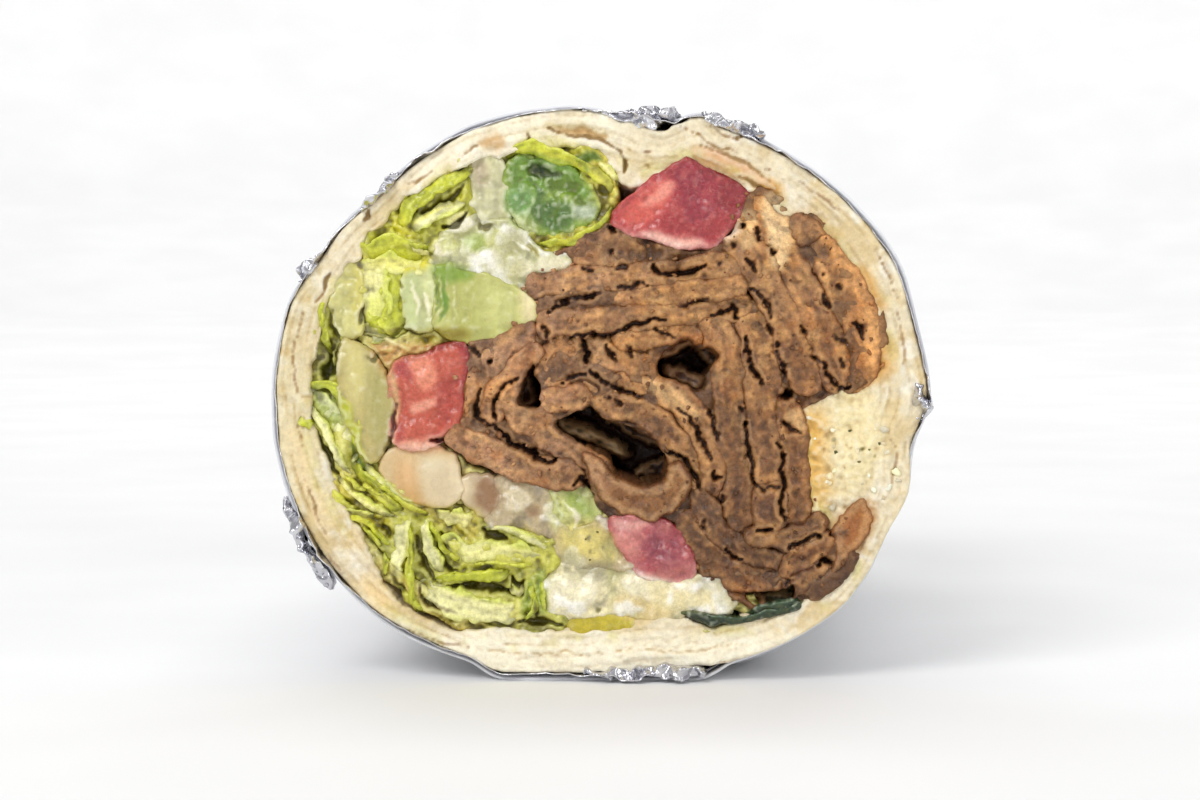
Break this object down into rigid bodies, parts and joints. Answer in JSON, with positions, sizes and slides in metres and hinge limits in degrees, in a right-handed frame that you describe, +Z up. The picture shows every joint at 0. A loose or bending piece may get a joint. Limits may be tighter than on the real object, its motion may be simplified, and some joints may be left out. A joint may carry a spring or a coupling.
{
  "type": "gyro wrap half",
  "caption": "Half of a gyro wrap: shaved meat, salad and sauce rolled in flatbread, cut across, in foil-lined paper folded shut at the back.",
  "frame": {"origin": "middle of the whole half's footprint, on the surface it lies on", "axes": "+Y along the roll, from the cut face to the folded end; +Z up; +X to the right as seen from the cut face"},
  "size_m": [0.0816, 0.1369, 0.0708],
  "materials": {
    "paper": "smooth, softly creased, faint pale grey honeycomb lines",
    "foil": "crinkled, bright",
    "bread": "matt, soft, toasted in spots",
    "meat": "moist, fine grained, browned edges",
    "tomato": "wet, finely granular",
    "tomato_core": "wet, translucent",
    "green_pepper": "wet, veined",
    "cucumber": "wet, translucent",
    "onion": "wet, translucent",
    "cabbage": "crisp, wet",
    "lettuce_rib": "crisp, translucent",
    "lettuce": "crisp, thin, wavy",
    "dark_pickle": "wet, dark",
    "banana_pepper": "wet",
    "sauce": "creamy, glossy"
  },
  "bodies": {
    "root": {"banana_pepper": "banana_pepper", "cabbage_lower": "cabbage", "cucumber": "cucumber", "flatbread": "bread", "foil_lining": "foil", "green_pepper": "green_pepper", "lettuce_bottom": "lettuce", "lettuce_crown": "lettuce", "lettuce_left": "lettuce", "lettuce_rib_inner": "lettuce_rib", "lettuce_rib_left": "lettuce_rib", "lettuce_rib_upper": "lettuce_rib", "lettuce_top": "lettuce", "meat_01": "meat", "meat_02": "meat", "meat_03": "meat", "meat_04": "meat", "meat_05": "meat", "meat_06": "meat", "meat_07": "meat", "meat_08": "meat", "meat_09": "meat", "meat_10": "meat", "meat_11": "meat", "meat_12": "meat", "meat_13": "meat", "meat_14": "meat", "meat_15": "meat", "meat_16": "meat", "meat_17": "meat", "meat_18": "meat", "meat_19": "meat", "meat_20": "meat", "meat_21": "meat", "meat_22": "meat", "meat_23": "meat", "meat_24": "meat", "meat_25": "meat", "meat_26": "meat", "meat_27": "meat", "meat_28": "meat", "onion_lower": "onion", "onion_upper": "onion", "paper_wrap": "paper", "pickle": "dark_pickle", "sauce_bottom": "sauce", "sauce_middle": "sauce", "sauce_top": "sauce", "tomato_bottom": "tomato", "tomato_core": "tomato_core", "tomato_left": "tomato", "tomato_top": "tomato"}
  },
  "joints": []
}
